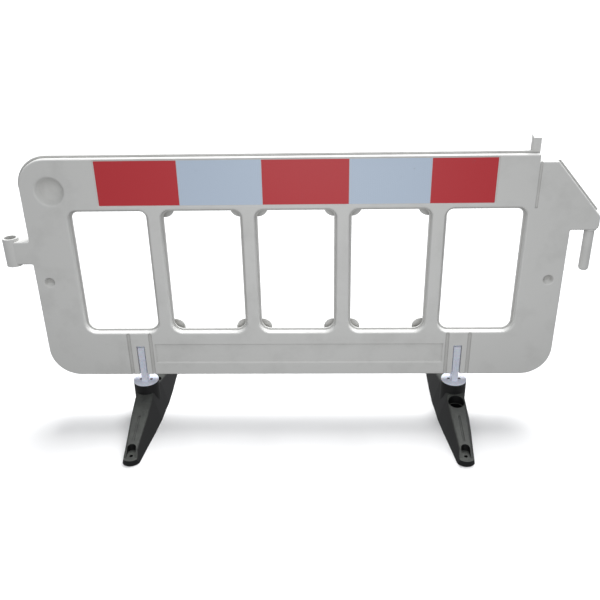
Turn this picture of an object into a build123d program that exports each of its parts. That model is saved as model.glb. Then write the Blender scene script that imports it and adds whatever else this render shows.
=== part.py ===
from build123d import *
import os
from math import atan2, degrees, hypot

# Interlocking plastic pedestrian barrier: one blow-moulded panel with a link ring at one end
# and a link pin at the other, reflective film on both faces, and two rubber feet that swivel
# on bolted clips so that the barrier can be stored flat.
# Frame: X along the panel, Y across it, Z up; the origin is on the ground under the middle.

# ---- Driving dimensions, in mm ----
PANEL_WIDTH = 1856.0        # outside of stile to outside of stile
PANEL_HEIGHT = 828.0
PANEL_DEPTH = 45.0
GROUND_GAP = 178.0          # ground to the panel's underside
SKIN = 3.5                  # wall of the hollow moulding
EDGE_RADIUS = 6.0           # rounding of front and back edges
LINK_REACH = 1000.0         # panel middle to ring centre, and to pin centre
BOTTOM_CORNER = 107.0
TOP_CORNER = 100.0
INSIDE_CORNER = 6.0         # where the ring's web and the gusset leave the stiles

WINDOW_WIDTHS = (267.0, 272.0, 272.0, 272.0, 267.0)
UPRIGHT_WIDTH = 50.0
SILL = 181.0                # panel underside to window sill
WINDOW_HEIGHT = 464.0
WINDOW_TOP_RADIUS = 28.0
WINDOW_SILL_RADIUS = 38.0
WINDOW_DRAFT = 12.0         # degrees, each way from the mid-plane

RIB_THICKNESS = 5.0         # parting-line rib in the mid-plane
RIB_HEIGHT = 7.5
WINDOW_RIB = 5.0            # its height round the windows
LUG_RADIUS = 34.0           # round stiffening lugs in the corners of the middle windows
LUG_INSET = 6.0             # lug centre to the window's side
LUG_THICKNESS = 4.5
LUG_BACK = 22.0             # mid-plane to the lug's rear face

HEAD_END = 799.5            # where the full-height top rail stops
HEAD_STEP = 24.0            # drop from the top rail to the top of the gusset
GUSSET_CORNER = 860.0       # X where the gusset starts to slope
GUSSET_UNDERSIDE = 566.0
GUSSET_END = 1023.0         # X of the upright edge beyond the pin
GUSSET_SLOPE_FOOT = 615.0   # height where the slope meets that edge
TIP_RADIUS = 16.0

RING_RADIUS = 27.5          # outside
RING_BORE = 20.0            # radius
PIN_RADIUS = 17.0
PIN_NOSE = 10.0             # rounding of the pin's lower end
PIN_COLLAR = 3.0            # height of the flat collar at the pin's root
PIN_COLLAR_RADIUS = 21.0
RING_BOTTOM = 445.0
RING_TOP = 547.0
WEB_BOTTOM = 452.0
WEB_TOP = 537.0
PIN_BOTTOM = 414.0

FILM_WIDTHS = (("red", 275.0), ("white", 280.0), ("red", 290.0), ("white", 270.0), ("red", 215.0))
FILM_BOTTOM = 665.0
FILM_HEIGHT = 155.0
FILM_THICKNESS = 0.8
FILM_RECESS = 3.0           # depth of the shallow tray that the film is stuck in
FILM_MARGIN = 1.5           # tray floor's edge to film edge
FILM_GAP = 1.5              # between one segment and the next
FILM_CORNER = 5.0           # radius of the band's four outer corners

LAMP_TAB_WIDTH = 26.0
LAMP_TAB_DEPTHS = (-2.5, 20.0)          # front and rear face
LAMP_TAB_HEIGHTS = (49.0, 58.0)         # above the top rail, at the front and at the rear

GROOVE_RADIUS = 7.0         # round-bottomed grooves beside each clip
GROOVE_SPREAD = 40.0        # clip middle to groove
GROOVE_TOP = 169.0
JOINT_RADIUS = 5.0          # groove where the gusset meets the top rail
JOINT_BOTTOM = 646.0
RECESS = (528.0, 53.5, 126.5)           # half length, bottom and top of the long recess's floor
RECESS_DEPTH = 5.0
PRESSING_SLOPE = 4.0        # how far a pressing's sides splay out
LARGE_DISH_FLOOR = 5.0      # plastic left behind the large dish

FOOT_REACH = 585.0          # panel middle to foot centre
SLOT_WIDTH = 31.0
SLOT_HEIGHT = 122.0

TURNTABLE_RADIUS = 47.0     # clip disc and foot neck
TURNTABLE_TOP = 145.0
TURNTABLE_THICKNESS = 4.0
RUNNING_GAP = 0.3           # between faces that turn on each other
BEARING_CLEARANCE = 0.05    # radial, hub in foot
HUB_RADIUS = 28.0
WEB_UNDERSIDE = 84.0        # foot's bearing web, from the ground
RETAINER_RADIUS = 34.0
RETAINER_THICKNESS = 8.0
RETAINER_POCKET = 36.0      # radius
SCREW_SPREAD = 20.0         # screw axis to foot centre
SCREW_RADIUS = 3.0
BLADE_HALF_WIDTHS = (10.5, 12.5)        # at the disc, and at the top
BLADE_DEPTH = 41.0
BLADE_DROP = 9.0            # slot's top to the blade's top
BLADE_CHAMFER = 4.0
BLADE_GROOVE = 1.2          # radius
SPINE_DEPTH = 22.0          # middle part that fills the slot's width
BUMP_RADIUS = 3.0           # catches on the blade's faces
BUMP_SPREAD = 7.0
BUMP_AT = 244.0             # from the ground

FOOT_HALF_LENGTH = 341.0
FOOT_BEND = 5.0             # degrees by which one arm is turned from the line of the other
RIDGE_AT_NECK = 103.0       # ridge height where it meets the neck
RIDGE_SLOPE = 0.242
RIDGE_ROUNDING = 10.0
FLANK_SLOPE = 0.27
FOOT_SKIN = 11.0
TOE_HEIGHT = 22.0           # flat toe round the ground bolt
TOE_CENTRE = 308.0          # centre of the arm's rounded end
TOE_SLOPE = (290.0, 322.0)  # where the ridge drops to the toe
BOLT_AT = 311.0             # foot centre to bolt
BOLT_RADIUS = 6.5
BOLT_POCKET = 15.5          # radius
BOLT_POCKET_BACK = 276.0
SOCKET_AT = 82.5            # foot centre to post socket
SOCKET_RADIUS = 25.0
SOCKET_MOUTH = 29.5         # radius
SOCKET_LEDGE = 70.0         # height of the step between the two
SOCKET_FLOOR = 12.0
SOCKET_BOSS = 34.0          # radius
CORES = ((52.0, 165.0), (172.0, 264.0))  # start and end of the two hollows under an arm
RIDGE_GROOVE = (150.0, 268.0)           # start and end
RIDGE_GROOVE_RADIUS = 5.0
GROOVE_LIFT = 3.0           # groove's axis above the ridge

panel_half = PANEL_WIDTH / 2
face = PANEL_DEPTH / 2
window_middle = SILL + WINDOW_HEIGHT / 2
film_total = sum(width for _, width in FILM_WIDTHS)
slope_top = (GUSSET_CORNER, PANEL_HEIGHT - HEAD_STEP)
slope_foot = (GUSSET_END, GUSSET_SLOPE_FOOT)
neck_top = TURNTABLE_TOP - TURNTABLE_THICKNESS - RUNNING_GAP
hub_bottom = WEB_UNDERSIDE - RUNNING_GAP


# ---- Helpers: the panel is drawn upright, in X and height above its own underside ----
def slab(sketch, thickness, middle=0.0):
    """Extrude an upright outline to a thickness centred on the given depth."""
    plate = extrude(Plane.XZ * sketch, thickness / 2, both=True)
    return Pos(0, middle, GROUND_GAP) * plate


def rectangle(left, bottom, right, top):
    """Upright rectangle between two corners."""
    return Pos((left + right) / 2, (bottom + top) / 2) * Rectangle(right - left, top - bottom)


def window_places():
    """Middle X and width of each window, left to right, with equal uprights between them."""
    places = []
    left = -(sum(WINDOW_WIDTHS) + (len(WINDOW_WIDTHS) - 1) * UPRIGHT_WIDTH) / 2
    for width in WINDOW_WIDTHS:
        places.append((left + width / 2, width))
        left += width + UPRIGHT_WIDTH
    return places


def window_outline(place, grow=0.0):
    """Outline of one window, with a smaller radius at its head than at its sill."""
    middle, width = place
    frame = Rectangle(width + 2 * grow, WINDOW_HEIGHT + 2 * grow)
    head = frame.vertices().group_by(Axis.Y)[-1]
    frame = fillet(head, WINDOW_TOP_RADIUS + grow)
    sill = frame.vertices().group_by(Axis.Y)[0]
    frame = fillet(sill, WINDOW_SILL_RADIUS + grow)
    return Pos(middle, window_middle) * frame


windows = window_places()


def panel_outline():
    """Outside of the panel: rounded rectangle, gusset over the pin and web to the ring."""
    board = Rectangle(PANEL_WIDTH, PANEL_HEIGHT)
    board = fillet(board.vertices().group_by(Axis.Y)[0], BOTTOM_CORNER)
    top_left = board.vertices().sort_by(Axis.Y)[-2:].sort_by(Axis.X)[0]
    board = Pos(0, PANEL_HEIGHT / 2) * fillet(top_left, TOP_CORNER)
    right_of_head = rectangle(HEAD_END, GUSSET_UNDERSIDE, panel_half + 1, PANEL_HEIGHT + 1)
    gusset = make_face(Polyline(
        (HEAD_END, GUSSET_UNDERSIDE), (HEAD_END, slope_top[1]), slope_top, slope_foot,
        (GUSSET_END, GUSSET_UNDERSIDE), close=True))
    gusset = fillet(gusset.vertices().sort_by(Axis.X)[-2:], TIP_RADIUS)
    web = rectangle(-LINK_REACH, WEB_BOTTOM, -panel_half + 1, WEB_TOP)
    outline = board - right_of_head + gusset + web
    inside_corners = [v for v in outline.vertices() if abs(abs(v.X) - panel_half) < 1 and 200 < v.Y < 700]
    return fillet(inside_corners, INSIDE_CORNER)


def film_patch(grow=0.0):
    """Outline of the whole band of film on one face."""
    band = RectangleRounded(film_total + 2 * grow, FILM_HEIGHT + 2 * grow, FILM_CORNER + grow)
    return Pos(0, FILM_BOTTOM + FILM_HEIGHT / 2) * band


def both_faces(tool):
    """The tool at the front face, and its mirror image at the back face."""
    return [tool, mirror(tool, Plane.XZ)]


def pressed(floor, depth, grow=0.0):
    """Cutters for a pressing in both faces: its sides splay out from its floor."""
    splay = degrees(atan2(PRESSING_SLOPE, depth))
    start = -face + depth + grow
    tool = extrude(Plane.XZ * offset(floor, grow), depth + grow + 1, taper=-splay)
    return both_faces(Pos(0, start, GROUND_GAP) * tool)


def channel(x, bottom, top, radius, grow=0.0):
    """Cutters for an upright round-bottomed groove in both faces, with a round top end."""
    place = Pos(x, -face - 1, GROUND_GAP + bottom)
    tool = place * extrude(Circle(radius + grow), top - bottom)
    tool = tool + Pos(x, -face - 1, GROUND_GAP + top) * Sphere(radius + grow)
    return both_faces(tool)


def pressings(grow=0.0):
    """Shallow shapes pressed into both faces of the panel."""
    half_length, bottom, top = RECESS
    tools = pressed(rectangle(-half_length, bottom, half_length, top), RECESS_DEPTH, grow)
    tools += pressed(film_patch(FILM_MARGIN), FILM_RECESS, grow)
    for side in (-1, 1):
        for edge in (-GROOVE_SPREAD, GROOVE_SPREAD):
            tools += channel(side * FOOT_REACH + edge, -1, GROOVE_TOP, GROOVE_RADIUS, grow)
    tools += channel(HEAD_END + JOINT_RADIUS - 1, JOINT_BOTTOM, PANEL_HEIGHT, JOINT_RADIUS, grow)
    return tools


def parting_rib(outline):
    """Mid-plane rib along the top rail, down the gusset's slope and round each window."""
    grown = offset(outline, RIB_HEIGHT)
    along_top = rectangle(-panel_half - 10, PANEL_HEIGHT - TOP_CORNER, HEAD_END, PANEL_HEIGHT + 10)
    rib = (grown - outline) & along_top
    run = slope_foot[0] - slope_top[0]
    fall = slope_foot[1] - slope_top[1]
    strip = rectangle(0, -4, hypot(run, fall) - 1.2 * TIP_RADIUS, RIB_HEIGHT)
    strip = Pos(*slope_top) * Rot(0, 0, degrees(atan2(fall, run))) * strip
    rib = rib + (strip & rectangle(HEAD_END, 0, GUSSET_END, slope_top[1]))
    for place in windows:
        rib = rib + (window_outline(place, 1.0) - window_outline(place, -WINDOW_RIB))
    return slab(rib, RIB_THICKNESS)


def window_cut(place, grow=0.0):
    """Solid that opens one window: narrowest in the mid-plane, wider towards both faces."""
    half = extrude(Plane.XZ * window_outline(place, grow), face + 1, taper=-WINDOW_DRAFT)
    return Pos(0, 0, GROUND_GAP) * (half + mirror(half, Plane.XZ))


def window_lugs():
    """Round lugs in the four corners of the three middle windows, near the back face."""
    lugs = Sketch()
    for middle, width in windows[1:-1]:
        reach = window_outline((middle, width), 2 * EDGE_RADIUS)
        for corner in GridLocations(width - 2 * LUG_INSET, WINDOW_HEIGHT, 2, 2):
            lugs = lugs + (Pos(middle, window_middle) * corner * Circle(LUG_RADIUS) & reach)
    return slab(lugs, LUG_THICKNESS, LUG_BACK - LUG_THICKNESS / 2)


def dish(x, height, rim_radius, floor_radius, depth, bowl_rounding, lip_rounding):
    """Round recess in the front face with sloping sides, a rounded floor and a soft lip."""
    beyond = rim_radius + 3 * lip_rounding
    profile = make_face(Polyline(
        (0, 0), (floor_radius, 0), (rim_radius, depth), (beyond, depth), (beyond, depth + 1),
        (0, depth + 1), close=True))
    profile = fillet(profile.vertices().sort_by_distance((floor_radius, 0))[:1], bowl_rounding)
    profile = fillet(profile.vertices().sort_by_distance((rim_radius, depth))[:1], lip_rounding)
    bowl = revolve(Plane.XZ * profile, Axis.Z)
    return Pos(x, -face + depth, GROUND_GAP + height) * Rot(90, 0, 0) * bowl


def dishes(grow=0.0):
    """The large tack-off at one top corner and the small one in each stile."""
    large = PANEL_DEPTH - LARGE_DISH_FLOOR
    return [
        dish(-826, 717, 50 + grow, 30 + grow, large + grow, 28, 9),
        dish(-880, 383, 19 + grow, 9 + grow, 16 + grow, 10, 4),
        dish(878, 383, 19 + grow, 9 + grow, 16 + grow, 10, 4),
    ]


# ---- Panel ----
def panel_shell():
    outline = panel_outline()
    body = slab(outline, PANEL_DEPTH)
    cavity = slab(offset(outline, -SKIN), PANEL_DEPTH - 2 * SKIN)
    for place in windows:
        body = body - window_cut(place)
        cavity = cavity - window_cut(place, SKIN)
    rims = [e for e in body.edges() if abs(abs(e.center().Y) - face) < 0.01]
    body = fillet(rims, EDGE_RADIUS)
    ring = Pos(-LINK_REACH, 0, GROUND_GAP + (RING_BOTTOM + RING_TOP) / 2)
    ring_height = RING_TOP - RING_BOTTOM
    cavity = cavity - ring * Cylinder(RING_RADIUS + SKIN, ring_height)

    hollows = pressings() + dishes()
    lined_hollows = pressings(SKIN) + dishes(SKIN)
    for side in (-1, 1):
        middle = side * FOOT_REACH
        socket = rectangle(middle - SLOT_WIDTH / 2, -1, middle + SLOT_WIDTH / 2, SLOT_HEIGHT)
        hollows.append(slab(socket, PANEL_DEPTH + 2))
        lined_hollows.append(slab(offset(socket, SKIN, kind=Kind.INTERSECTION), PANEL_DEPTH + 2))
    for hollow in hollows:
        body = body - hollow
    for hollow in lined_hollows:
        cavity = cavity - hollow

    body = body + parting_rib(outline) + window_lugs()
    body = body + ring * Cylinder(RING_RADIUS, ring_height)
    pin_length = GUSSET_UNDERSIDE + 10 - PIN_BOTTOM
    pin = Cylinder(PIN_RADIUS, pin_length)
    pin = fillet(pin.edges().sort_by(Axis.Z)[0], PIN_NOSE)
    body = body + Pos(LINK_REACH, 0, GROUND_GAP + PIN_BOTTOM + pin_length / 2) * pin
    collar_bottom = GUSSET_UNDERSIDE - PIN_COLLAR
    collar = extrude(Pos(LINK_REACH, 0, GROUND_GAP + collar_bottom) * Circle(PIN_COLLAR_RADIUS), 4 * PIN_COLLAR)
    body = body + collar + lamp_tab() - cavity
    return body - ring * Cylinder(RING_BORE, ring_height + 2)


def lamp_tab():
    """Upright tab at the end of the top rail, with a top that slopes down to the front."""
    front, rear = LAMP_TAB_DEPTHS
    low, high = LAMP_TAB_HEIGHTS
    side_view = make_face(Polyline((front, -5), (rear, -5), (rear, high), (front, low), close=True))
    tab = extrude(Plane.YZ * side_view, LAMP_TAB_WIDTH)
    tab = fillet(tab.edges().filter_by(Axis.X).group_by(Axis.Z)[-1], 2.0)
    return Pos(HEAD_END - LAMP_TAB_WIDTH, 0, GROUND_GAP + PANEL_HEIGHT) * tab


# ---- Reflective film ----
def reflector_films():
    """Five film segments on the front face and five on the back, left to right."""
    films = {}
    for face_name, sign in (("front", -1), ("back", 1)):
        left = -film_total / 2
        depth = sign * (face - FILM_RECESS + FILM_THICKNESS / 2)
        for number, (colour, width) in enumerate(FILM_WIDTHS, start=1):
            patch = rectangle(left, FILM_BOTTOM, left + width, FILM_BOTTOM + FILM_HEIGHT)
            patch = offset(patch, -FILM_GAP / 2, kind=Kind.INTERSECTION) & film_patch()
            films[f"reflector_{face_name}_{number}_{colour}"] = slab(patch, FILM_THICKNESS, depth)
            left += width
    return films


# ---- Foot clip, its screws, nuts and retainer, about their own axis ----
def at_screws(piece):
    """A copy of the piece on each of the two screw axes."""
    return [Pos(side * SCREW_SPREAD, 0, 0) * piece for side in (-1, 1)]


def foot_clip():
    """Disc with a hub below it and a blade above it that is pushed up into the panel's slot."""
    disc = Pos(0, 0, TURNTABLE_TOP - TURNTABLE_THICKNESS / 2) * Cylinder(TURNTABLE_RADIUS, TURNTABLE_THICKNESS)
    disc = fillet(disc.edges().sort_by(Axis.Z)[-1], 1.5)
    hub_length = TURNTABLE_TOP - TURNTABLE_THICKNESS - hub_bottom
    hub = Pos(0, 0, hub_bottom + hub_length / 2) * Cylinder(HUB_RADIUS, hub_length)
    low = TURNTABLE_TOP - 1
    high = GROUND_GAP + SLOT_HEIGHT - BLADE_DROP
    root, head = BLADE_HALF_WIDTHS
    front_view = make_face(Polyline((-root, low), (root, low), (head, high), (-head, high), close=True))
    blade = extrude(Plane.XZ * front_view, BLADE_DEPTH / 2, both=True)
    blade = chamfer(blade.edges().filter_by(Axis.X).group_by(Axis.Z)[-1], BLADE_CHAMFER)
    spine_top = GROUND_GAP + SLOT_HEIGHT - RUNNING_GAP
    spine = Box(SLOT_WIDTH - 2 * RUNNING_GAP, SPINE_DEPTH, spine_top - GROUND_GAP)
    clip = disc + hub + blade + Pos(0, 0, (spine_top + GROUND_GAP) / 2) * spine
    for place in GridLocations(2 * BUMP_SPREAD, BLADE_DEPTH, 2, 2):
        clip = clip + place * Pos(0, 0, BUMP_AT) * Sphere(BUMP_RADIUS)
    for place in GridLocations(BUMP_SPREAD, BLADE_DEPTH, 2, 2):
        clip = clip - place * Pos(0, 0, low + 8) * extrude(Circle(BLADE_GROOVE), BUMP_AT - low - 15)
    bore = Pos(0, 0, TURNTABLE_TOP / 2 + 20) * Cylinder(SCREW_RADIUS + 0.2, TURNTABLE_TOP)
    sinking = Pos(0, 0, TURNTABLE_TOP) * Cylinder(6, 10)
    for cut in at_screws(bore) + at_screws(sinking):
        clip = clip - cut
    return clip


def clip_screws():
    """Two socket-head screws, head down in the disc and nose through the retainer."""
    head_seat = TURNTABLE_TOP - 5
    nose = hub_bottom - RETAINER_THICKNESS - 8
    shank = Pos(0, 0, (head_seat + nose) / 2) * Cylinder(SCREW_RADIUS, head_seat - nose)
    head = Pos(0, 0, head_seat + 2.2) * Cylinder(5, 4.4)
    key = extrude(Pos(0, 0, head_seat + 4.4) * RegularPolygon(2.3, 6), -2.5)
    return Compound(children=at_screws(shank + head - key))


def clip_nuts():
    """Two hexagon nuts under the retainer."""
    seat = hub_bottom - RETAINER_THICKNESS
    nut = extrude(Pos(0, 0, seat - 5) * RegularPolygon(5, 6, major_radius=False), 5)
    hole = Pos(0, 0, seat - 3) * Cylinder(SCREW_RADIUS, 12)
    return Compound(children=at_screws(nut - hole))


def retainer():
    """Round plate under the foot's bearing web, clamped to the hub."""
    middle = hub_bottom - RETAINER_THICKNESS / 2
    plate = Pos(0, 0, middle) * Cylinder(RETAINER_RADIUS, RETAINER_THICKNESS)
    for hole in at_screws(Pos(0, 0, middle) * Cylinder(SCREW_RADIUS + 0.2, 20)):
        plate = plate - hole
    return plate


# ---- Foot ----
FOOT_STATIONS = ((-12, 62), (60, 60), (150, 51), (230, 41), (300, 33), (FOOT_HALF_LENGTH + 2, 28))


def ridge(y):
    """Height of the foot's ridge at a distance from its centre."""
    return RIDGE_AT_NECK - RIDGE_SLOPE * (y - TURNTABLE_RADIUS)


def arm_block(shrink, rounding):
    """A ridge with sloping flanks that gets lower and narrower outwards, along +Y."""
    sections = []
    for y, half_base in FOOT_STATIONS:
        height = ridge(y) - shrink
        base = half_base - shrink
        top = base - FLANK_SLOPE * height
        outline = Polyline((-base, 0), (base, 0), (top, height), (-top, height), close=True)
        profile = make_face(outline)
        profile = fillet(profile.vertices().group_by(Axis.Y)[-1], rounding)
        sections.append(Plane((0, y, 0), x_dir=(-1, 0, 0), z_dir=(0, 1, 0)) * profile)
    return loft(sections, ruled=True)


def arm():
    """One arm, hollow below, with a flat toe for the ground bolt and a groove along its ridge."""
    length = FOOT_HALF_LENGTH
    end_radius = length - TOE_CENTRE
    plan = rectangle(-length, -length, length, TOE_CENTRE) + Pos(0, TOE_CENTRE) * Circle(end_radius)
    body = arm_block(0, RIDGE_ROUNDING) & extrude(plan, neck_top)

    slope_start, slope_end = TOE_SLOPE
    over_toe = make_face(Polyline(
        (slope_start, ridge(slope_start) + 1), (slope_end, TOE_HEIGHT), (length + 1, TOE_HEIGHT),
        (length + 1, neck_top), (slope_start, neck_top), close=True))
    body = body - extrude(Plane.YZ * over_toe, 2 * end_radius, both=True)
    pocket_start = BOLT_POCKET_BACK + BOLT_POCKET
    pocket = rectangle(-BOLT_POCKET, pocket_start, BOLT_POCKET, length + 1)
    pocket = pocket + Pos(0, pocket_start) * Circle(BOLT_POCKET)
    body = body - Pos(0, 0, TOE_HEIGHT) * extrude(pocket, neck_top)
    body = body - Pos(0, BOLT_AT, 0) * extrude(Circle(BOLT_RADIUS), neck_top)

    core = arm_block(FOOT_SKIN, 3)
    for start, end in CORES:
        body = body - (core & Pos(0, (start + end) / 2, 0) * Box(length, end - start, 2 * neck_top))

    start, end = RIDGE_GROOVE
    groove = Plane((0, start, ridge(start) + GROOVE_LIFT), z_dir=(0, 1, -RIDGE_SLOPE))
    return body - extrude(groove * Circle(RIDGE_GROOVE_RADIUS), end - start)


def foot():
    """Foot with its socket on the -Y arm; the other hand is the same moulding turned round."""
    half_bend = Rot(0, 0, FOOT_BEND / 2)
    beyond_mitre = Pos(0, FOOT_HALF_LENGTH, 0) * Box(600, 2 * FOOT_HALF_LENGTH, 2 * neck_top)
    half = half_bend * arm() & beyond_mitre
    arms = half_bend * (half + mirror(half, Plane.XZ))
    body = arms + Pos(0, 0, neck_top / 2) * Cylinder(TURNTABLE_RADIUS, neck_top)

    socket = Pos(0, -SOCKET_AT, 0)
    solid_arm = Rot(0, 0, 180) * arm_block(0, RIDGE_ROUNDING)
    body = body + (socket * extrude(Circle(SOCKET_BOSS), neck_top) & solid_arm)
    body = body - socket * Pos(0, 0, SOCKET_LEDGE) * extrude(Circle(SOCKET_MOUTH), neck_top)
    body = body - socket * Pos(0, 0, SOCKET_FLOOR) * extrude(Circle(SOCKET_RADIUS), neck_top)

    web_bore = Pos(0, 0, neck_top / 2) * Cylinder(HUB_RADIUS + BEARING_CLEARANCE, neck_top + 2)
    pocket = extrude(Circle(RETAINER_POCKET), WEB_UNDERSIDE)
    return body - web_bore - pocket


# ---- Assembly ----
def build():
    nodes = {"panel_shell": panel_shell()}
    nodes.update(reflector_films())
    fittings = {
        "foot_clip": foot_clip(),
        "foot_retainer": retainer(),
        "clip_screws": clip_screws(),
        "clip_nuts": clip_nuts(),
    }
    moulding = foot()
    for side, x, turn in (("left", -FOOT_REACH, 180 - FOOT_BEND), ("right", FOOT_REACH, 0)):
        for name, piece in fittings.items():
            nodes[f"{name}_{side}"] = Pos(x, 0, 0) * piece
        nodes[f"foot_{side}"] = Pos(x, 0, 0) * Rot(0, 0, turn) * moulding
    return nodes


os.makedirs("parts", exist_ok=True)
for node_name, shape in build().items():
    export_step(shape, f"parts/{node_name}.step")
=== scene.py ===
import math

import bmesh
import bpy
from bpy.props import FloatProperty, FloatVectorProperty, PointerProperty
from mathutils import Euler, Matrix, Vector


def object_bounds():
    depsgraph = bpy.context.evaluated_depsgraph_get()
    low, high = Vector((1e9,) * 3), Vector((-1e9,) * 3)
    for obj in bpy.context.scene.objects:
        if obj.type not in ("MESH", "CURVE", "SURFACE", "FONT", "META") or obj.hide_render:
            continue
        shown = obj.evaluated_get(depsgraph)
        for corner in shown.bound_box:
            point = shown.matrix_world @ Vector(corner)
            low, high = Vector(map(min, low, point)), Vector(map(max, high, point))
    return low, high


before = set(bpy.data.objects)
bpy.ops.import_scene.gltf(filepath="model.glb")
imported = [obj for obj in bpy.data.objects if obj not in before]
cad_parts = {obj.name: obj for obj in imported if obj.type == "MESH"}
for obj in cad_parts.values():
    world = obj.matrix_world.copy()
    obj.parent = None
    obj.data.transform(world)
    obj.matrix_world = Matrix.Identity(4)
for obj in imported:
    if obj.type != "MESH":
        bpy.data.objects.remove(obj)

bl_info = {
    "name": "Pedestrian Barrier Finishes",
    "version": (1, 0, 0),
    "blender": (4, 5, 0),
    "location": "3D View > Sidebar > Barrier",
    "description": "Gives the barrier's moulded, filmed and rubber pieces their finishes and lights them",
    "category": "Object",
}

MILLIMETRE = 0.001

# Widths of patterns, in mm
FILM_SCUFF = 35
RUBBER_FLOW = 28
NYLON_WISP = 14
NYLON_SKIN = 1.5
STEEL_BLOTCH = 4
PAPER_TOOTH = 900

# Stage: angles in degrees, lengths in metres
SUN_SPREAD = 40
SUN_TURN = (-20, 12, 0)
FILL_WIDTH = 1.2
FILL_AIM = (0.1, 0.0, 0.6)
SKY_COLOUR = (0.97, 0.985, 1.0, 1.0)
FLOOR_SIDES = 64

cad_low, cad_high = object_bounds()


# ---- Colours, pattern scales and nodes ----
def linear(hex_colour):
    """Linear RGB of an sRGB hex colour."""
    channels = [int(hex_colour[i:i + 2], 16) / 255 for i in (1, 3, 5)]
    return tuple(c / 12.92 if c <= 0.04045 else ((c + 0.055) / 1.055) ** 2.4 for c in channels)


def per_metre(size):
    """Texture scale at which one cell of a pattern is that many millimetres across."""
    return 1000.0 / size


def solid(colour):
    """Colour property as the four numbers that a colour socket takes."""
    return (*colour, 1.0)


def add_node(tree, kind, links=None, **settings):
    """Add one node, with its settings, and give its sockets a value or another node's socket."""
    made = tree.nodes.new(kind)
    for name, value in settings.items():
        setattr(made, name, value)
    for socket, value in (links or {}).items():
        if isinstance(value, bpy.types.NodeSocket):
            tree.links.new(value, made.inputs[socket])
        else:
            made.inputs[socket].default_value = value
    return made


def new_material(name):
    """Empty node material with an output; returns the material, its tree and the output."""
    material = bpy.data.materials.new(name)
    material.use_nodes = True
    material.node_tree.nodes.clear()
    output = add_node(material.node_tree, "ShaderNodeOutputMaterial")
    return material, material.node_tree, output


def finish_node(name, material):
    """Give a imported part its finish."""
    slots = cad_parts[name].data.materials
    slots.clear()
    slots.append(material)


# ---- Materials ----
def blow_moulded_hdpe(look):
    """White high-density polyethylene, blow moulded against a grit-blasted mould."""
    # A milky satin white. The wall is never quite flat, the skin has a fine sand texture, and
    # outdoor use leaves faint grey mottling and a warmer, dirtier band low down. Hollows get painted shade.
    material, tree, output = new_material("blow_moulded_hdpe_white")
    place = add_node(tree, "ShaderNodeTexCoord").outputs["Object"]
    ripple = add_node(tree, "ShaderNodeTexNoise", {
        "Vector": place, "Scale": per_metre(look.ripple), "Detail": 1.0})
    sand = add_node(tree, "ShaderNodeTexNoise", {
        "Vector": place, "Scale": per_metre(look.sand), "Detail": 3.0, "Roughness": 0.6})
    grime = add_node(tree, "ShaderNodeTexNoise", {
        "Vector": place, "Scale": per_metre(look.grime), "Detail": 5.0, "Roughness": 0.62})
    grime_amount = add_node(tree, "ShaderNodeMapRange", {
        "Value": grime.outputs["Fac"], "From Min": 0.5, "From Max": 0.78, "To Min": 0.0, "To Max": 0.5})
    height = add_node(tree, "ShaderNodeSeparateXYZ", {"Vector": place})
    splash = add_node(tree, "ShaderNodeMapRange", {
        "Value": height.outputs["Z"], "From Min": 0.17, "From Max": 0.45, "To Min": 0.35, "To Max": 0.0})
    dirt = add_node(tree, "ShaderNodeMath", {0: grime_amount.outputs["Result"], 1: splash.outputs["Result"]},
                    operation="ADD", use_clamp=True)
    dirt_part = add_node(tree, "ShaderNodeMath", {
        0: dirt.outputs["Value"], 1: look.dirt}, operation="MULTIPLY")
    # painted shade: an occlusion mask darkens the dishes, the grooves and the sides of the ribs, and fades
    # out on faces that look up
    occlusion_shade = add_node(tree, "ShaderNodeAmbientOcclusion", {
        "Distance": look.occlusion_shade * MILLIMETRE}, samples=8, only_local=True)
    painted_corner_shade = add_node(tree, "ShaderNodeMapRange", {
        "Value": occlusion_shade.outputs["AO"], "From Min": 0.35, "From Max": 0.92, "To Min": look.painted_corner_shade,
        "To Max": 0.0})
    facing = add_node(tree, "ShaderNodeSeparateXYZ", {
        "Vector": add_node(tree, "ShaderNodeNewGeometry").outputs["Normal"]})
    shade_off_tops = add_node(tree, "ShaderNodeMapRange", {
        "Value": facing.outputs["Z"], "From Min": 0.2, "From Max": 0.7, "To Min": 1.0, "To Max": 0.0})
    # the real grime and the low band are added to the painted shade in the hollows
    dirt_and_shade = add_node(tree, "ShaderNodeMath", {
        0: painted_corner_shade.outputs["Result"], 1: shade_off_tops.outputs["Result"], 2: dirt_part.outputs["Value"]},
        operation="MULTIPLY_ADD", use_clamp=True)
    # one colour stands for both the dirt and the painted shade
    colour = add_node(tree, "ShaderNodeMix", {
        "Factor": dirt_and_shade.outputs["Value"], "A": solid(look.colour), "B": solid(look.dirt_and_shade_colour)},
        data_type="RGBA")
    rough = add_node(tree, "ShaderNodeMapRange", {
        "Value": grime.outputs["Fac"], "To Min": 0.38, "To Max": 0.58})
    waves = add_node(tree, "ShaderNodeBump", {
        "Height": ripple.outputs["Fac"], "Strength": 0.25, "Distance": 4 * MILLIMETRE})
    grain = add_node(tree, "ShaderNodeBump", {
        "Height": sand.outputs["Fac"], "Strength": 0.2, "Distance": 0.4 * MILLIMETRE,
        "Normal": waves.outputs["Normal"]})
    shader = add_node(tree, "ShaderNodeBsdfPrincipled", {
        "Base Color": colour.outputs["Result"], "Roughness": rough.outputs["Result"], "IOR": 1.54,
        "Normal": grain.outputs["Normal"]})
    tree.links.new(shader.outputs["BSDF"], output.inputs["Surface"])
    return material


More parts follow.
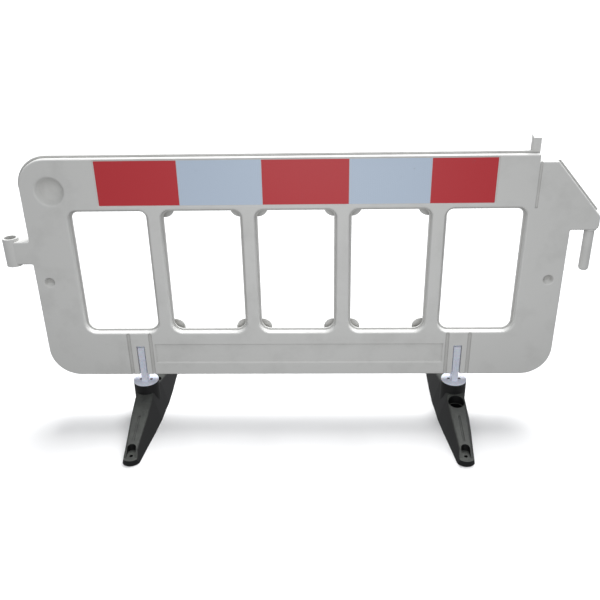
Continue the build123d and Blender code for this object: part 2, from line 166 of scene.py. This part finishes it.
def reflective_film(name, colour, cell, scuff_colour):
    """Retroreflective sheeting: glass beads in honeycomb cells under a clear acrylic skin."""
    # A flat bright colour under gloss, crossed by a faint honeycomb of seal lines, with the odd
    # grey scuff. The cells are drawn coarser than the real 3 mm ones so that they show.
    material, tree, output = new_material(name)
    place = add_node(tree, "ShaderNodeTexCoord").outputs["Object"]
    total = None
    for turn in (0, 60, 120):
        # three sets of waves at sixty degrees add up to a honeycomb of bright spots
        across = Vector((math.cos(math.radians(turn)), 0.0, math.sin(math.radians(turn))))
        phase = add_node(tree, "ShaderNodeVectorMath", {
            0: place, 1: across * (2 * math.pi * per_metre(cell))}, operation="DOT_PRODUCT")
        wave = add_node(tree, "ShaderNodeMath", {0: phase.outputs["Value"]}, operation="COSINE")
        if total is None:
            total = wave
        else:
            total = add_node(tree, "ShaderNodeMath", {
                0: total.outputs["Value"], 1: wave.outputs["Value"]}, operation="ADD")
    seal = add_node(tree, "ShaderNodeMapRange", {
        "Value": total.outputs["Value"], "From Min": -1.5, "From Max": -0.7, "To Min": 0.16, "To Max": 0.0})
    scuffs = add_node(tree, "ShaderNodeTexNoise", {
        "Vector": place, "Scale": per_metre(FILM_SCUFF), "Detail": 6.0, "Roughness": 0.7})
    scuffed = add_node(tree, "ShaderNodeMapRange", {
        "Value": scuffs.outputs["Fac"], "From Min": 0.66, "From Max": 0.74, "To Min": 0.0, "To Max": 0.35})
    worn = add_node(tree, "ShaderNodeMath", {
        0: seal.outputs["Result"], 1: scuffed.outputs["Result"]}, operation="ADD", use_clamp=True)
    shade = add_node(tree, "ShaderNodeMix", {
        "Factor": worn.outputs["Value"], "A": solid(colour), "B": solid(scuff_colour)}, data_type="RGBA")
    dent = add_node(tree, "ShaderNodeBump", {
        "Height": total.outputs["Value"], "Strength": 0.15, "Distance": 0.15 * MILLIMETRE})
    shader = add_node(tree, "ShaderNodeBsdfPrincipled", {
        "Base Color": shade.outputs["Result"], "Roughness": 0.5, "IOR": 1.49, "Coat Weight": 0.1,
        "Coat Roughness": 0.2, "Normal": dent.outputs["Normal"]})
    tree.links.new(shader.outputs["BSDF"], output.inputs["Surface"])
    return material


def recycled_rubber(look):
    """Black recycled rubber crumb, hot pressed in an open mould."""
    # Charcoal rather than black, with a pebbled skin, and pale road dusting plus a painted highlight on
    # whatever faces up.
    material, tree, output = new_material("recycled_rubber_black")
    place = add_node(tree, "ShaderNodeTexCoord").outputs["Object"]
    pebbles = add_node(tree, "ShaderNodeTexVoronoi", {
        "Vector": place, "Scale": per_metre(look.crumb), "Smoothness": 0.6}, feature="SMOOTH_F1")
    flow = add_node(tree, "ShaderNodeTexNoise", {
        "Vector": place, "Scale": per_metre(RUBBER_FLOW), "Detail": 4.0, "Roughness": 0.6})
    facing = add_node(tree, "ShaderNodeSeparateXYZ", {
        "Vector": add_node(tree, "ShaderNodeNewGeometry").outputs["Normal"]})
    # faces that look up are paled: partly dusting, partly a painted highlight along the ridges
    up_facing_dust_and_highlight = add_node(tree, "ShaderNodeMapRange", {
        "Value": facing.outputs["Z"], "From Min": 0.45, "From Max": 0.98, "To Min": 0.0, "To Max": 0.85})
    patchy = add_node(tree, "ShaderNodeMapRange", {
        "Value": flow.outputs["Fac"], "From Min": 0.3, "From Max": 0.75, "To Min": 0.35, "To Max": 1.0})
    dust_and_highlight = add_node(tree, "ShaderNodeMath", {
        0: up_facing_dust_and_highlight.outputs["Result"], 1: patchy.outputs["Result"]}, operation="MULTIPLY")
    colour = add_node(tree, "ShaderNodeMix", {
        "Factor": dust_and_highlight.outputs["Value"], "A": solid(look.colour), "B": solid(look.dust_and_highlight_colour)},
        data_type="RGBA")
    rough = add_node(tree, "ShaderNodeMapRange", {
        "Value": dust_and_highlight.outputs["Value"], "To Min": 0.48, "To Max": 0.85})
    bump = add_node(tree, "ShaderNodeBump", {
        "Height": pebbles.outputs["Distance"], "Strength": 0.35, "Distance": 0.6 * MILLIMETRE})
    swell = add_node(tree, "ShaderNodeBump", {
        "Height": flow.outputs["Fac"], "Strength": 0.3, "Distance": 1.5 * MILLIMETRE,
        "Normal": bump.outputs["Normal"]})
    shader = add_node(tree, "ShaderNodeBsdfPrincipled", {
        "Base Color": colour.outputs["Result"], "Roughness": rough.outputs["Result"], "IOR": 1.52,
        "Normal": swell.outputs["Normal"]})
    tree.links.new(shader.outputs["BSDF"], output.inputs["Surface"])
    return material


def moulded_nylon(look):
    """Pale blue-grey glass-filled nylon, injection moulded."""
    # Slightly translucent, with a fine matt skin and lighter wisps where the fibres come up.
    material, tree, output = new_material("moulded_nylon_blue_grey")
    place = add_node(tree, "ShaderNodeTexCoord").outputs["Object"]
    wisps = add_node(tree, "ShaderNodeTexNoise", {
        "Vector": place, "Scale": per_metre(NYLON_WISP), "Detail": 4.0, "Roughness": 0.65})
    skin = add_node(tree, "ShaderNodeTexNoise", {
        "Vector": place, "Scale": per_metre(NYLON_SKIN), "Detail": 2.0})
    amount = add_node(tree, "ShaderNodeMapRange", {
        "Value": wisps.outputs["Fac"], "From Min": 0.4, "From Max": 0.7, "To Min": 0.0, "To Max": 0.7})
    colour = add_node(tree, "ShaderNodeMix", {
        "Factor": amount.outputs["Result"], "A": solid(look.clip_colour), "B": solid(look.wisp_colour)},
        data_type="RGBA")
    bump = add_node(tree, "ShaderNodeBump", {
        "Height": skin.outputs["Fac"], "Strength": 0.2, "Distance": 0.2 * MILLIMETRE})
    shader = add_node(tree, "ShaderNodeBsdfPrincipled", {
        "Base Color": colour.outputs["Result"], "Roughness": 0.42, "IOR": 1.53,
        "Subsurface Weight": 0.1, "Subsurface Scale": 3 * MILLIMETRE, "Normal": bump.outputs["Normal"]})
    tree.links.new(shader.outputs["BSDF"], output.inputs["Surface"])
    return material


def plated_steel(look):
    """Zinc-plated steel screws and nuts, dulled outdoors."""
    # A dark grey metal with blotchy oxide.
    material, tree, output = new_material("zinc_plated_steel_dulled")
    place = add_node(tree, "ShaderNodeTexCoord").outputs["Object"]
    blotches = add_node(tree, "ShaderNodeTexNoise", {
        "Vector": place, "Scale": per_metre(STEEL_BLOTCH), "Detail": 3.0})
    colour = add_node(tree, "ShaderNodeMix", {
        "Factor": blotches.outputs["Fac"], "A": solid(look.screw_colour), "B": solid(look.oxide_colour)},
        data_type="RGBA")
    rough = add_node(tree, "ShaderNodeMapRange", {
        "Value": blotches.outputs["Fac"], "To Min": 0.35, "To Max": 0.65})
    shader = add_node(tree, "ShaderNodeBsdfPrincipled", {
        "Base Color": colour.outputs["Result"], "Metallic": 1.0, "Roughness": rough.outputs["Result"]})
    tree.links.new(shader.outputs["BSDF"], output.inputs["Surface"])
    return material


def studio_floor(look):
    """Seamless matt paper on the studio floor."""
    # Nearly white and even, so that only the contact shadows show.
    material, tree, output = new_material("studio_paper_pale")
    place = add_node(tree, "ShaderNodeTexCoord").outputs["Object"]
    tooth = add_node(tree, "ShaderNodeTexNoise", {
        "Vector": place, "Scale": per_metre(PAPER_TOOTH), "Detail": 2.0})
    colour = add_node(tree, "ShaderNodeMix", {
        "Factor": tooth.outputs["Fac"], "A": solid(look.floor_colour), "B": solid(look.floor_shade)},
        data_type="RGBA")
    shader = add_node(tree, "ShaderNodeBsdfPrincipled", {
        "Base Color": colour.outputs["Result"], "Roughness": 0.9, "Specular IOR Level": 0.2})
    tree.links.new(shader.outputs["BSDF"], output.inputs["Surface"])
    return material


def studio_sky(look):
    """Sky that is brightest overhead and darkest below."""
    world = bpy.data.worlds.new("studio_sky")
    world.use_nodes = True
    tree = world.node_tree
    tree.nodes.clear()
    direction = add_node(tree, "ShaderNodeSeparateXYZ", {
        "Vector": add_node(tree, "ShaderNodeTexCoord").outputs["Generated"]})
    strength = add_node(tree, "ShaderNodeMapRange", {
        "Value": direction.outputs["Z"], "From Min": -1.0, "From Max": 1.0, "To Min": look.sky_below,
        "To Max": look.sky_above})
    background = add_node(tree, "ShaderNodeBackground", {
        "Color": SKY_COLOUR, "Strength": strength.outputs["Result"]})
    output = add_node(tree, "ShaderNodeOutputWorld")
    tree.links.new(background.outputs["Background"], output.inputs["Surface"])
    return world


# ---- Settings that a user would change ----
class PanelLook(bpy.types.PropertyGroup):
    """Finish of the blow-moulded panel."""
    colour: FloatVectorProperty(
        name="Plastic", description="Colour of the clean plastic", subtype="COLOR",
        size=3, min=0, max=1, default=linear("#E3E3E1"))
    # this colour is also used for the painted shade in the hollows
    dirt_and_shade_colour: FloatVectorProperty(
        name="Dirt", description="Colour of the dirt on the plastic", subtype="COLOR",
        size=3, min=0, max=1, default=linear("#93928E"))
    dirt: FloatProperty(
        name="Dirt Amount", description="How much of the dirt shows", subtype="FACTOR",
        min=0, max=1, default=0.35)
    ripple: FloatProperty(
        name="Ripple", description="Width of the waves in the moulded wall, in mm", min=5, default=90)
    sand: FloatProperty(
        name="Sand", description="Grain of the blasted mould skin, in mm", min=0.2, default=2.0)
    grime: FloatProperty(
        name="Grime", description="Width of the patches of grime, in mm", min=5, default=120)
    # reach of the painted shade in the hollows, in mm
    occlusion_shade: FloatProperty(
        name="Shelter", description="How far from a wall grime still settles, in mm", min=1, default=35)
    # strength of the painted shade in the deepest hollows
    painted_corner_shade: FloatProperty(
        name="Settled", description="How dirty the most sheltered places are", subtype="FACTOR",
        min=0, max=1, default=0.75)


class FilmLook(bpy.types.PropertyGroup):
    """Finish of the reflective film."""
    red: FloatVectorProperty(
        name="Red", description="Colour of the red film", subtype="COLOR",
        size=3, min=0, max=1, default=linear("#D22F38"))
    white: FloatVectorProperty(
        name="White", description="Colour of the white film", subtype="COLOR",
        size=3, min=0, max=1, default=linear("#CFDFF3"))
    scuff: FloatVectorProperty(
        name="Scuff", description="Colour of scuffs and cell walls", subtype="COLOR",
        size=3, min=0, max=1, default=linear("#7E8793"))
    cell: FloatProperty(
        name="Cell", description="Spacing of the honeycomb, in mm", min=1, default=6.0)


class FootLook(bpy.types.PropertyGroup):
    """Finish of the rubber feet."""
    colour: FloatVectorProperty(
        name="Rubber", description="Colour of the clean rubber", subtype="COLOR",
        size=3, min=0, max=1, default=linear("#090A0B"))
    # colour of the dusting and of the painted highlight on up-facing ridges
    dust_and_highlight_colour: FloatVectorProperty(
        name="Dust", description="Colour of the dust on top", subtype="COLOR",
        size=3, min=0, max=1, default=linear("#4E514D"))
    crumb: FloatProperty(
        name="Crumb", description="Size of the rubber crumbs, in mm", min=0.5, default=3.0)


class FittingLook(bpy.types.PropertyGroup):
    """Finish of the clips, retainers, screws and nuts."""
    clip_colour: FloatVectorProperty(
        name="Nylon", description="Colour of the nylon", subtype="COLOR",
        size=3, min=0, max=1, default=linear("#DCE0EE"))
    wisp_colour: FloatVectorProperty(
        name="Wisps", description="Colour of the lighter wisps in the nylon", subtype="COLOR",
        size=3, min=0, max=1, default=linear("#EEF0F8"))
    screw_colour: FloatVectorProperty(
        name="Steel", description="Colour of the plated steel", subtype="COLOR",
        size=3, min=0, max=1, default=linear("#6E7074"))
    oxide_colour: FloatVectorProperty(
        name="Oxide", description="Colour of the dull oxide on the steel", subtype="COLOR",
        size=3, min=0, max=1, default=linear("#46474A"))


class StageLook(bpy.types.PropertyGroup):
    """Floor, light and camera."""
    floor_colour: FloatVectorProperty(
        name="Floor", description="Colour of the floor", subtype="COLOR",
        size=3, min=0, max=1, default=linear("#F2F2F2"))
    floor_shade: FloatVectorProperty(
        name="Floor Shade", description="Second colour of the floor's faint mottle", subtype="COLOR",
        size=3, min=0, max=1, default=linear("#EEEEEF"))
    floor_reach: FloatProperty(
        name="Floor Reach", description="Middle of the floor to its edge", subtype="DISTANCE",
        unit="LENGTH", min=3, default=60.0)
    sky_above: FloatProperty(
        name="Sky Above", description="Strength of the sky straight overhead", min=0, default=0.70)
    sky_below: FloatProperty(
        name="Sky Below", description="Strength of the sky straight below", min=0, default=0.12)
    overhead: FloatProperty(
        name="Overhead", description="Strength of the broad light from above", min=0, default=3.3)
    fill: FloatProperty(
        name="Fill", description="Power of the soft light in front, in watts", min=0, default=8.5)
    fill_place: FloatVectorProperty(
        name="Fill Place", description="Where the soft light in front hangs", subtype="TRANSLATION",
        unit="LENGTH", size=3, default=(0.1, -1.8, 0.75))
    camera_place: FloatVectorProperty(
        name="Camera Place", description="Where the camera stands", subtype="TRANSLATION",
        unit="LENGTH", size=3, default=(0.082, -2.3405, 1.6114))
    camera_turn: FloatVectorProperty(
        name="Camera Turn", description="Which way the camera looks", subtype="EULER",
        unit="ROTATION", size=3, default=tuple(math.radians(a) for a in (64.15, 0.95, 1.32)))
    camera_lens: FloatProperty(
        name="Lens", description="Focal length of the camera, in mm", min=10, default=43.32)


# ---- Operators, one for each group of pieces ----
class BARRIER_OT_panel(bpy.types.Operator):
    """Give the panel moulding its white plastic finish."""
    bl_idname = "barrier.panel"
    bl_label = "Finish Panel"

    def execute(self, context):
        finish_node("panel_shell", blow_moulded_hdpe(context.scene.barrier_panel))
        return {"FINISHED"}


class BARRIER_OT_films(bpy.types.Operator):
    """Give the reflective films their red and white finishes."""
    bl_idname = "barrier.films"
    bl_label = "Finish Films"

    def execute(self, context):
        look = context.scene.barrier_film
        red = reflective_film("reflective_film_red", look.red, look.cell, look.scuff)
        white = reflective_film("reflective_film_white", look.white, look.cell, look.scuff)
        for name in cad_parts:
            if name.startswith("reflector_"):
                finish_node(name, red if name.endswith("red") else white)
        return {"FINISHED"}


class BARRIER_OT_feet(bpy.types.Operator):
    """Give the feet their black rubber finish."""
    bl_idname = "barrier.feet"
    bl_label = "Finish Feet"

    def execute(self, context):
        rubber = recycled_rubber(context.scene.barrier_foot)
        for side in ("left", "right"):
            finish_node(f"foot_{side}", rubber)
        return {"FINISHED"}


class BARRIER_OT_fittings(bpy.types.Operator):
    """Give the clips, retainers, screws and nuts their finishes."""
    bl_idname = "barrier.fittings"
    bl_label = "Finish Fittings"

    def execute(self, context):
        look = context.scene.barrier_fitting
        nylon = moulded_nylon(look)
        steel = plated_steel(look)
        for side in ("left", "right"):
            for name in ("foot_clip", "foot_retainer"):
                finish_node(f"{name}_{side}", nylon)
            for name in ("clip_screws", "clip_nuts"):
                finish_node(f"{name}_{side}", steel)
        return {"FINISHED"}


class BARRIER_OT_stage(bpy.types.Operator):
    """Lay the pale floor, hang the lights and set up the camera."""
    bl_idname = "barrier.stage"
    bl_label = "Set Stage"

    def execute(self, context):
        scene = context.scene
        look = scene.barrier_stage

        mesh = bpy.data.meshes.new("studio_floor")
        shape = bmesh.new()
        bmesh.ops.create_circle(shape, cap_ends=True, segments=FLOOR_SIDES, radius=look.floor_reach)
        shape.to_mesh(mesh)
        shape.free()
        floor = bpy.data.objects.new("studio_floor", mesh)
        floor.location.z = cad_low.z
        floor.data.materials.append(studio_floor(look))
        scene.collection.objects.link(floor)

        # the paper shows its shadows but throws no light back up, so undersides stay dark
        floor.visible_diffuse = False
        floor.visible_glossy = False
        scene.world = studio_sky(look)

        lamp = bpy.data.lights.new("overhead_softbox", "SUN")
        lamp.energy = look.overhead
        lamp.angle = math.radians(SUN_SPREAD)
        softbox = bpy.data.objects.new("overhead_softbox", lamp)
        softbox.rotation_euler = Euler([math.radians(a) for a in SUN_TURN])
        scene.collection.objects.link(softbox)

        lamp = bpy.data.lights.new("front_fill", "AREA")
        lamp.energy = look.fill
        lamp.shape = "DISK"
        lamp.size = FILL_WIDTH
        fill = bpy.data.objects.new("front_fill", lamp)
        fill.location = look.fill_place
        backwards = fill.location - Vector(FILL_AIM)
        fill.rotation_euler = backwards.to_track_quat("Z", "Y").to_euler()
        fill.visible_camera = False
        scene.collection.objects.link(fill)

        camera = bpy.data.objects.new("camera", bpy.data.cameras.new("camera"))
        camera.data.lens = look.camera_lens
        camera.location = look.camera_place
        camera.rotation_euler = Euler(look.camera_turn)
        scene.collection.objects.link(camera)
        scene.camera = camera
        scene.view_settings.view_transform = "Standard"
        return {"FINISHED"}


class BARRIER_PT_sidebar(bpy.types.Panel):
    """Sidebar panel with the barrier's settings and operators."""
    bl_idname = "BARRIER_PT_sidebar"
    bl_label = "Pedestrian Barrier"
    bl_space_type = "VIEW_3D"
    bl_region_type = "UI"
    bl_category = "Barrier"

    def draw(self, context):
        for operator, group in STEPS:
            box = self.layout.box()
            look = getattr(context.scene, group)
            for name in look.__annotations__:
                box.prop(look, name)
            box.operator(operator)


STEPS = (
    ("barrier.panel", "barrier_panel"),
    ("barrier.films", "barrier_film"),
    ("barrier.feet", "barrier_foot"),
    ("barrier.fittings", "barrier_fitting"),
    ("barrier.stage", "barrier_stage"),
)
GROUPS = {
    "barrier_panel": PanelLook,
    "barrier_film": FilmLook,
    "barrier_foot": FootLook,
    "barrier_fitting": FittingLook,
    "barrier_stage": StageLook,
}
CLASSES = (
    *GROUPS.values(), BARRIER_OT_panel, BARRIER_OT_films, BARRIER_OT_feet, BARRIER_OT_fittings,
    BARRIER_OT_stage, BARRIER_PT_sidebar,
)


def register():
    for cls in CLASSES:
        bpy.utils.register_class(cls)
    for name, group in GROUPS.items():
        setattr(bpy.types.Scene, name, PointerProperty(type=group))


def unregister():
    for name in GROUPS:
        delattr(bpy.types.Scene, name)
    for cls in reversed(CLASSES):
        bpy.utils.unregister_class(cls)


def main():
    """Register the add-on, then build every finish and the stage."""
    register()
    for operator, _ in STEPS:
        group, name = operator.split(".")
        getattr(getattr(bpy.ops, group), name)()


if __name__ == "__main__":
    main()
